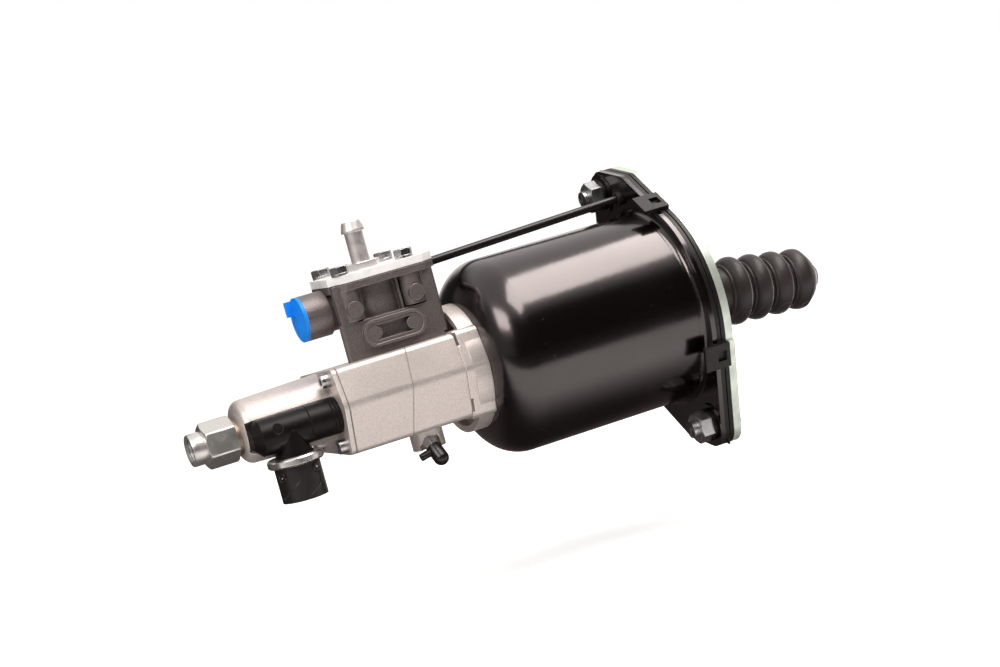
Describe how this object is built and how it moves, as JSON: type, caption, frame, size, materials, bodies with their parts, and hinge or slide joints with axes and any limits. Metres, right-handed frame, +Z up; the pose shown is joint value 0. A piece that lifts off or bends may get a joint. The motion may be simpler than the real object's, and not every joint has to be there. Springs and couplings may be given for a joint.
{
  "type": "clutch servo",
  "caption": "Air-assisted hydraulic clutch servo: black air cylinder with an eared mounting flange, alloy fluid housing, relay valve tower, travel sensor and a bellows over the push rod.",
  "frame": {"origin": "centre of the round mounting land, on the face that meets the gearbox", "axes": "+X along the main axis, the way the push rod leaves; +Z up, towards the hose barb"},
  "size_m": [0.4233, 0.134, 0.1911],
  "materials": {
    "gloss_black": "gloss black paint",
    "light_alloy": "fine blasted cast alloy, satin",
    "dark_alloy": "dark grey casting, coarse and matt",
    "zinc_plate": "pale zinc plating with a green tint, satin",
    "steel": "bright machined steel",
    "bright_steel": "polished plated steel",
    "black_plastic": "black moulded plastic",
    "blue_plastic": "bright blue moulded plastic",
    "black_rubber": "dark grey rubber",
    "brass": "plain brass",
    "spring_steel": "drawn spring wire"
  },
  "bodies": {
    "housing": {"cylinder_shell": "gloss_black", "sealing_frame": "black_plastic", "mounting_plate": "zinc_plate", "flange_bolts": "steel", "flange_nuts": "steel", "flange_washers": "steel", "neck_flange": "light_alloy", "neck_screws": "steel", "hydraulic_housing": "light_alloy", "nose_housing": "light_alloy", "nose_screws": "steel", "inlet_union": "zinc_plate", "inlet_washer": "steel", "travel_sensor": "black_plastic", "sensor_collar": "bright_steel", "plug_socket": "black_plastic", "socket_pins": "brass", "valve_housing": "dark_alloy", "cover_gasket": "black_rubber", "top_cover": "light_alloy", "cover_bolts": "steel", "cover_washers": "zinc_plate", "hose_barb": "bright_steel", "port_plug": "blue_plastic", "vent_tube": "black_plastic", "tube_grommets": "black_rubber", "bleed_screw": "steel", "bleed_cap": "black_rubber", "guide_bush": "brass", "rod_seal": "black_rubber", "preload_spring": "spring_steel", "bellows": "black_rubber", "valve_seat": "steel", "control_spring": "spring_steel", "poppet_spring": "spring_steel"},
    "rod": {"booster_piston": "light_alloy", "piston_seal": "black_rubber", "piston_guide_ring": "black_plastic", "plunger": "light_alloy", "plunger_seal": "black_rubber", "sensor_magnet": "steel", "push_rod": "steel", "ball_retainer": "steel"},
    "relay_piston": {"control_piston": "light_alloy"},
    "poppet": {"valve_poppet": "black_rubber"}
  },
  "joints": [
    {"name": "rod_slide", "type": "slide", "parent": "housing", "child": "rod", "axis": [1, 0, 0], "range_m": [-0.05, 0], "stiffness_N_per_m": 800, "springref_m": 0.05, "deforming": ["bellows", "preload_spring"]},
    {"name": "control_piston_slide", "type": "slide", "parent": "housing", "child": "relay_piston", "axis": [0, 0, 1], "range_m": [0, 0.0025], "stiffness_N_per_m": 2000, "springref_m": -0.005, "deforming": ["control_spring"]},
    {"name": "poppet_slide", "type": "slide", "parent": "housing", "child": "poppet", "axis": [0, 0, 1], "range_m": [0, 0.0015], "stiffness_N_per_m": 2000, "springref_m": -0.005, "deforming": ["poppet_spring"]}
  ]
}
